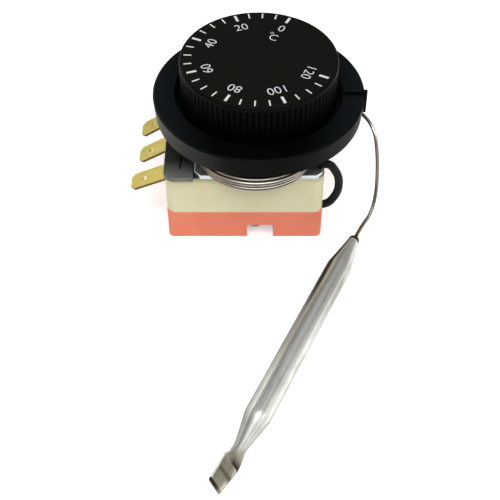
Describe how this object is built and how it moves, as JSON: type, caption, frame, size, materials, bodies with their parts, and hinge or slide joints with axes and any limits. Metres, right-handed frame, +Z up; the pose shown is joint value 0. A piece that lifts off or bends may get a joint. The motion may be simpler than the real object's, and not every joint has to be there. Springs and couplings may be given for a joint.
{
  "type": "capillary dial temperature control",
  "caption": "Dial temperature control with a round bezel, steel bracket, two-part switch housing, blade terminals, wound capillary and a tubular sensing bulb.",
  "frame": {"origin": "on the spindle axis, in the plane of the base cover's underside", "axes": "+Z up along the spindle, -X towards the terminals, -Y towards the side that the bulb lies on"},
  "size_m": [0.0728, 0.1398, 0.0486],
  "materials": {
    "knob_black": "fine moulded satin black",
    "bezel_black": "moulded black with a soft gloss",
    "dial_white": "thin white printed ink",
    "spring_steel": "bright spring steel",
    "spindle_steel": "turned steel",
    "zinc_steel": "zinc plated",
    "bracket_steel": "zinc plated sheet with bright cut edges",
    "turned_brass": "turned brass",
    "cover_grey": "matt grey board",
    "housing_cream": "matt cream moulding",
    "base_orange": "matt orange moulding",
    "screw_bronze": "dark bronze plated",
    "terminal_brass": "stamped brass",
    "contact_copper": "copper alloy strip",
    "contact_silver": "silver contact",
    "pin_ceramic": "white ceramic",
    "capsule_steel": "stainless",
    "capillary_copper": "plated capillary tube",
    "sleeve_black": "black sleeving",
    "bulb_steel": "satin stainless tube, tinted at its ends"
  },
  "bodies": {
    "housing": {"bezel": "bezel_black", "bezel_screw_front": "zinc_steel", "bezel_screw_rear": "zinc_steel", "bracket": "bracket_steel", "spindle_bush": "turned_brass", "terminal_cover": "cover_grey", "upper_housing": "housing_cream", "base_cover": "base_orange", "assembly_screw_front": "screw_bronze", "assembly_screw_rear": "screw_bronze", "terminal_front": "terminal_brass", "terminal_middle": "terminal_brass", "terminal_rear": "terminal_brass", "fixed_contact_lower": "contact_silver", "fixed_contact_upper": "contact_silver", "lever_pin": "spindle_steel", "setting_spring": "spring_steel", "diaphragm_capsule": "capsule_steel", "capillary_inlet": "capillary_copper", "capillary_sleeve": "sleeve_black", "capillary_coil": "capillary_copper", "capillary_lead": "capillary_copper", "sensing_bulb": "bulb_steel"},
    "dial": {"knob": "knob_black", "knob_clip": "spring_steel", "spindle": "spindle_steel", "spindle_circlip": "spring_steel"},
    "setting_nut": {"adjusting_nut": "turned_brass"},
    "pusher": {"push_pin": "pin_ceramic"},
    "lever": {"switch_lever": "bracket_steel"},
    "contact": {"contact_blade": "contact_copper", "moving_contact": "contact_silver"}
  },
  "joints": [
    {"name": "dial_turn", "type": "hinge", "parent": "housing", "child": "dial", "pos_m": [0, 0, 0], "axis": [0, 0, 1], "range_deg": [0, 294]},
    {"name": "nut_slide", "type": "slide", "parent": "housing", "child": "setting_nut", "axis": [0, 0, 1], "range_m": [0, 0.00062], "deforming": ["setting_spring"]},
    {"name": "pin_push", "type": "slide", "parent": "housing", "child": "pusher", "axis": [0, 0, 1], "range_m": [0, 0.0004]},
    {"name": "lever_rock", "type": "hinge", "parent": "housing", "child": "lever", "pos_m": [0.01, 0, 0.0149], "axis": [0, 1, 0], "range_deg": [0, 2.3]},
    {"name": "contact_lift", "type": "hinge", "parent": "housing", "child": "contact", "pos_m": [-0.0183, 0, 0.01665], "axis": [0, -1, 0], "range_deg": [0, 4.51]}
  ],
  "couplings": [
    {"joint": "nut_slide", "follows": "dial_turn", "m_per_rad": 0.00011937},
    {"joint": "lever_rock", "follows": "pin_push", "rad_per_m": 100},
    {"joint": "contact_lift", "follows": "pin_push", "rad_per_m": 196.35}
  ]
}
